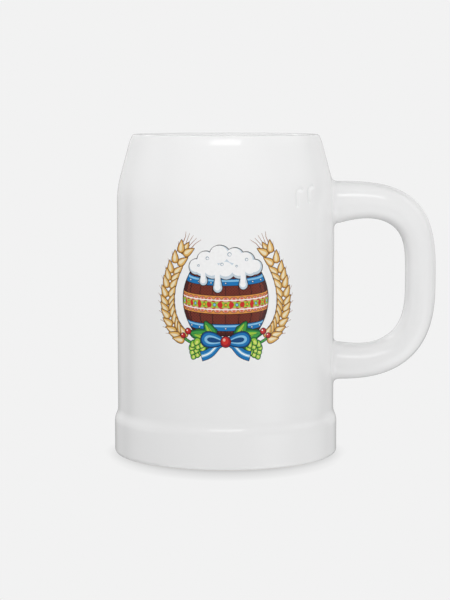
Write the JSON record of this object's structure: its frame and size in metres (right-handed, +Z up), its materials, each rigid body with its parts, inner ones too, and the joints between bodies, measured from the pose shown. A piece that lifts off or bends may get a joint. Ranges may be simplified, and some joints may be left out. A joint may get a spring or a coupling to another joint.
{
  "type": "beer mug",
  "caption": "Half-litre ceramic beer mug with straight sides, a foot band, a drawn-in shoulder, a rounded lip and a broad strap handle fused to the wall.",
  "frame": {"origin": "on the mug's axis at the level of the table that it stands on", "axes": "+Z up along the mug's axis, +X towards the handle, -Y towards the printed side"},
  "size_m": [0.1371, 0.0952, 0.135],
  "materials": {
    "white_glaze": "glossy white glaze with a coloured print fired onto the -Y side"
  },
  "bodies": {
    "root": {"mug": "white_glaze"}
  },
  "joints": []
}
